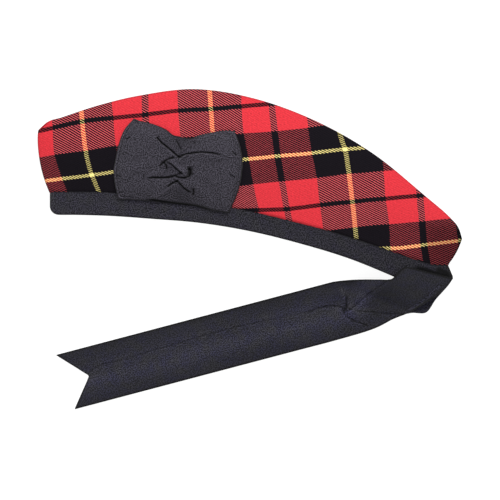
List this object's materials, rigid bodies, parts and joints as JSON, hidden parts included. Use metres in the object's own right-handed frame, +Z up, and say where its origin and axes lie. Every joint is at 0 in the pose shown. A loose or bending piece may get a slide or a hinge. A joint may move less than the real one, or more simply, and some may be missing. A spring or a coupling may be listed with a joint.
{
  "type": "glengarry cap",
  "caption": "Boat-shaped folding wool cap in red and black plaid with a plain dark band, a pinched bow on its left side and ribbon tails, lying on its side",
  "frame": {"origin": "middle of the outline, on the surface that the cap lies on", "axes": "+X towards the cap's heel, along its length; +Y towards the crown's ridge; +Z up from the surface, towards the wearer's left side, which carries the bow"},
  "size_m": [0.308, 0.232, 0.0346],
  "materials": {
    "plaid": "matte twill wool in red and black plaid",
    "band": "matte dark woven binding",
    "rosette": "matte dark ribbon, gathered",
    "tails": "dark ribbon with a faint sheen"
  },
  "bodies": {
    "root": {"side_upper": "plaid", "side_lower": "plaid", "crown": "plaid", "band": "band", "rosette": "rosette", "tail_upper": "tails", "tail_under": "tails"}
  },
  "joints": []
}
